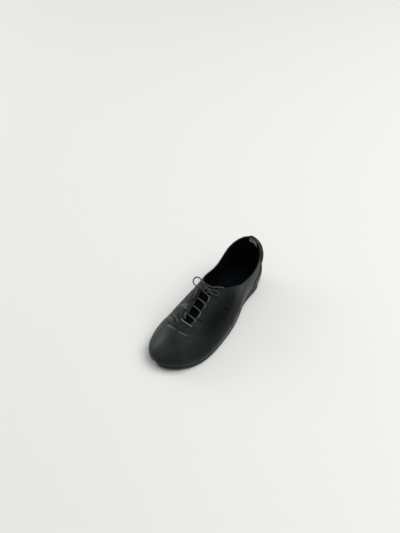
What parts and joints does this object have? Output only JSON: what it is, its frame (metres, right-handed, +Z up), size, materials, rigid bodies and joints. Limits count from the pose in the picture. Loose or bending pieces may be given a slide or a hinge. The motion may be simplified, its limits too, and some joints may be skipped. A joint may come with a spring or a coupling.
{
  "type": "jazz shoe",
  "caption": "Low black lace-up jazz shoe for the left foot, with a soft leather upper, thin sole, low heel block and a tied bow.",
  "frame": {"origin": "on the floor, under the middle of the shoe's length and width without its bow", "axes": "+Z up, toe towards -Y, heel towards +Y, outer side of the left foot towards +X"},
  "size_m": [0.094, 0.2548, 0.0817],
  "materials": {
    "upper_leather": "soft semi-gloss black leather",
    "tongue_leather": "thin soft black leather",
    "lining_leather": "smooth glossy black lining",
    "lining": "matt near-black lining cloth",
    "sole": "black sole leather, polished edge",
    "heel_rubber": "matt black rubber",
    "lace": "round braided waxed lace"
  },
  "bodies": {
    "root": {"outsole": "sole", "heel": "heel_rubber", "insole": "lining", "upper": "upper_leather", "tongue": "tongue_leather", "heel_counter": "upper_leather", "heel_band": "upper_leather", "heel_tab": "lining_leather", "lace_bars": "lace", "lace_knot": "lace", "lace_loop_inner": "lace", "lace_loop_outer": "lace", "lace_end_inner": "lace", "lace_end_outer": "lace"}
  },
  "joints": []
}
